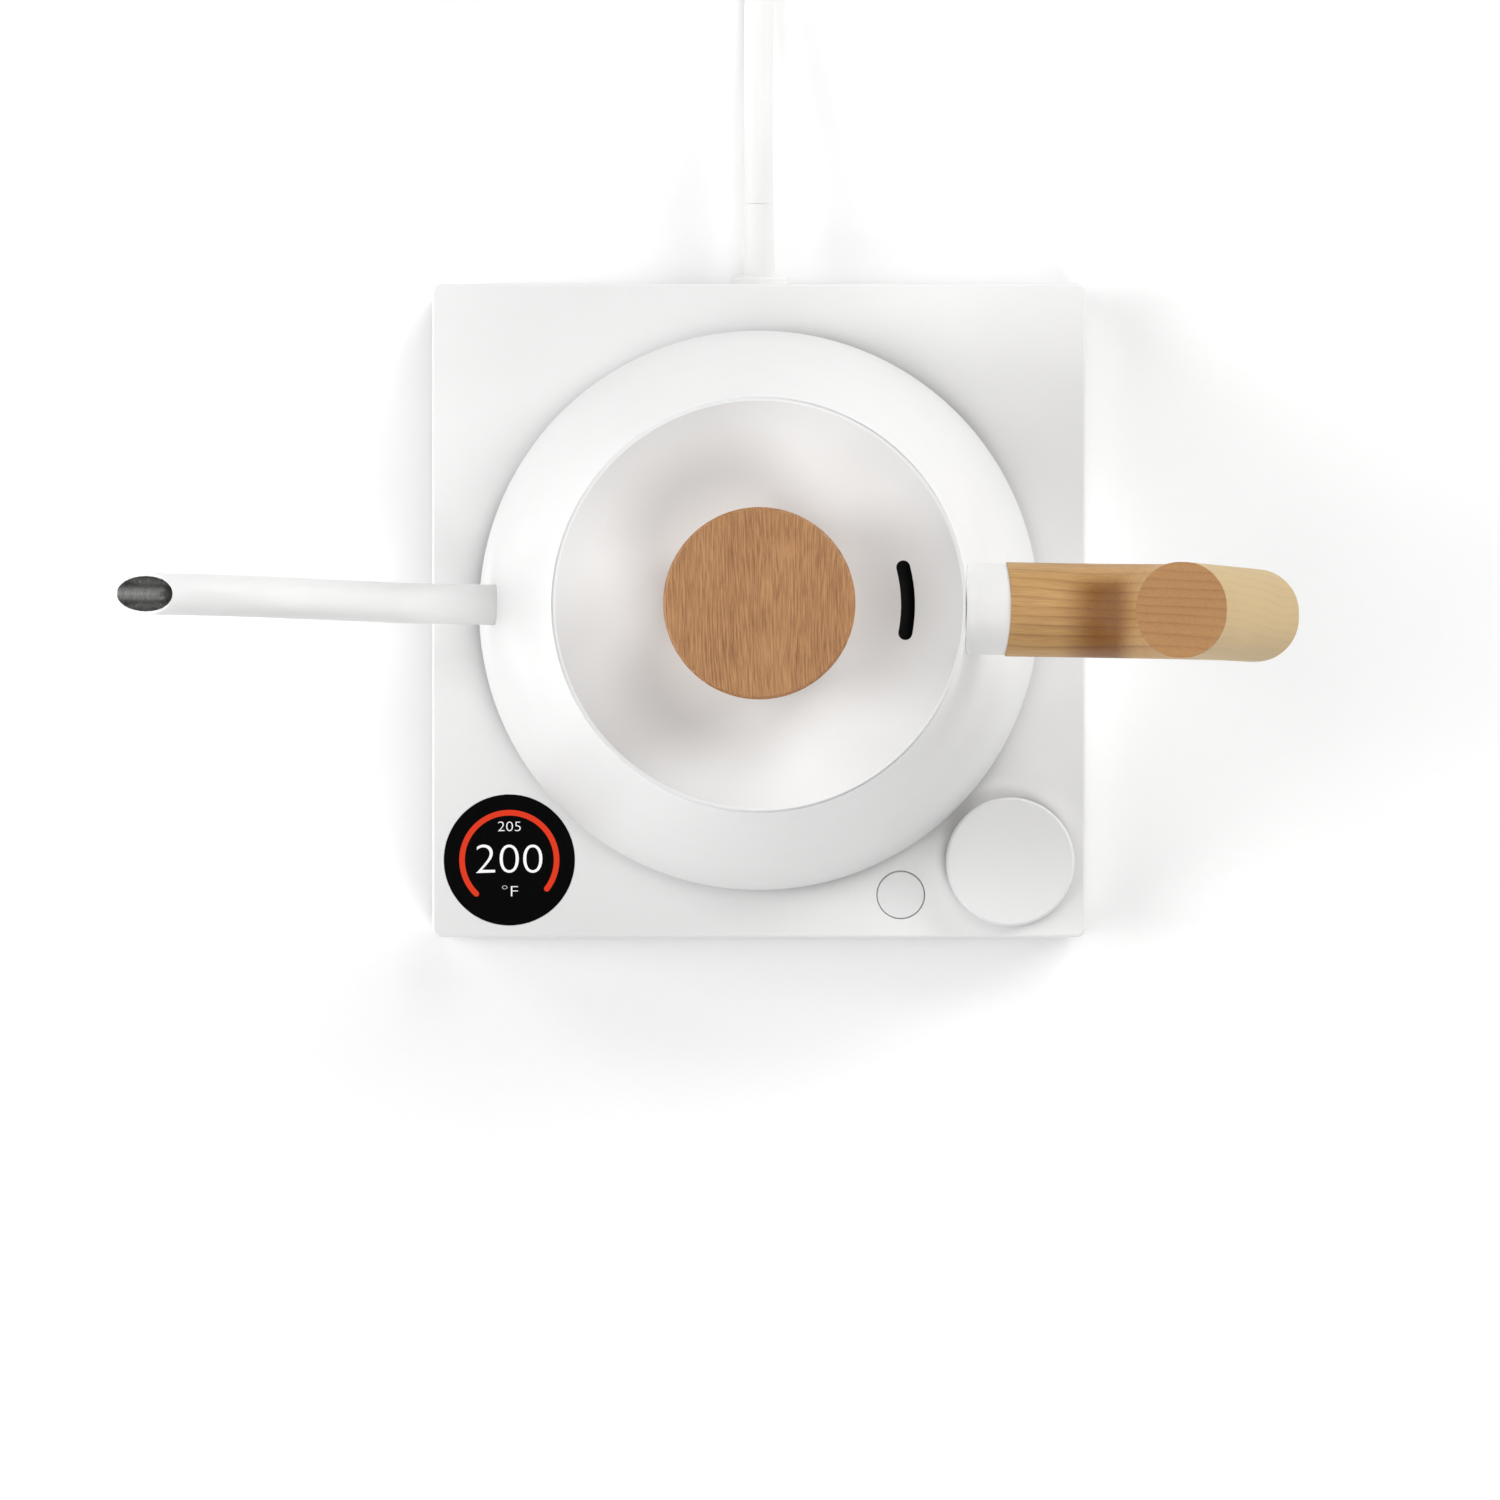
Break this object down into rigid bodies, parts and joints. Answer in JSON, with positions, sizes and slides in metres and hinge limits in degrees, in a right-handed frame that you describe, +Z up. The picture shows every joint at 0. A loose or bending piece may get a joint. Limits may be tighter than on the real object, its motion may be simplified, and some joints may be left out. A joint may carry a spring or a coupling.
{
  "type": "electric gooseneck kettle",
  "caption": "Conical gooseneck kettle with a wooden handle and lid knob, standing on a square heating base with a round display, dial, button and mains cord.",
  "frame": {"origin": "centre of the base's footprint on the table", "axes": "+Z up, -X along the spout, -Y towards the controls"},
  "size_m": [0.2978, 0.359, 0.2016],
  "materials": {
    "white_powder_coat": "satin powder coat",
    "white_plastic": "matt",
    "grey_plastic": "matt",
    "black_plastic": "matt",
    "display_glass": "polished",
    "circuit_board": "solder mask",
    "steel": "brushed",
    "aluminium": "rolled",
    "brass": "bright",
    "silicone": "matt",
    "handle_wood": "oiled",
    "knob_wood": "oiled"
  },
  "bodies": {
    "base": {"base_housing": "white_powder_coat", "base_bottom_cover": "grey_plastic", "foot_ring": "silicone", "cover_screws": "steel", "power_socket": "black_plastic", "socket_contacts": "brass", "socket_screws": "steel", "control_board": "circuit_board", "board_screws": "steel", "display_glass": "display_glass", "display_module": "black_plastic", "dial_encoder": "black_plastic", "button_switch": "black_plastic", "sounder": "black_plastic", "power_board": "circuit_board", "power_board_screws": "steel", "relay": "black_plastic", "transformer": "black_plastic", "capacitors": "black_plastic", "terminal_block": "grey_plastic", "strain_relief": "white_plastic", "inner_cord": "white_plastic", "cord_clamp": "grey_plastic", "mains_leads": "grey_plastic", "cord_lead": "white_plastic", "cord_coil": "white_plastic", "cord_tie": "silicone", "cord_tail": "white_plastic", "plug_body": "white_plastic", "plug_pins": "brass"},
    "dial_shaft": {"dial_shaft": "steel"},
    "dial": {"dial_cap": "white_plastic"},
    "button": {"button_cap": "white_plastic", "switch_plunger": "black_plastic"},
    "connector": {"kettle_connector": "black_plastic", "kettle_contacts": "brass"},
    "kettle": {"kettle_body": "white_powder_coat", "mouth_ring": "steel", "spout_tube": "white_powder_coat", "handle_bracket": "white_powder_coat", "wooden_handle": "handle_wood", "handle_screws": "steel", "heater_plate": "aluminium", "heating_element": "steel", "temperature_sensor": "steel", "kettle_skirt": "black_plastic", "skirt_screws": "steel"},
    "lid": {"lid_top": "white_powder_coat", "lid_insert": "steel", "lid_gasket": "silicone", "lid_knob": "knob_wood", "knob_screw": "steel"}
  },
  "joints": [
    {"name": "dial_press", "type": "slide", "parent": "base", "child": "dial_shaft", "axis": [0, 0, -1], "range_m": [0, 0.0006], "stiffness_N_per_m": 3000},
    {"name": "dial_turn", "type": "hinge", "parent": "dial_shaft", "child": "dial", "pos_m": [0.06532, -0.06532, 0.041], "axis": [0, 0, 1], "continuous": true},
    {"name": "button_press", "type": "slide", "parent": "base", "child": "button", "axis": [0, 0, -1], "range_m": [0, 0.0006], "stiffness_N_per_m": 1500},
    {"name": "kettle_lift", "type": "slide", "parent": "base", "child": "connector", "axis": [0, 0, 1], "range_m": [0, 0.12]},
    {"name": "kettle_swivel", "type": "hinge", "parent": "connector", "child": "kettle", "pos_m": [0, 0, 0.04], "axis": [0, 0, 1], "continuous": true},
    {"name": "lid_lift", "type": "slide", "parent": "kettle", "child": "lid", "axis": [0, 0, 1], "range_m": [0, 0.07]}
  ]
}
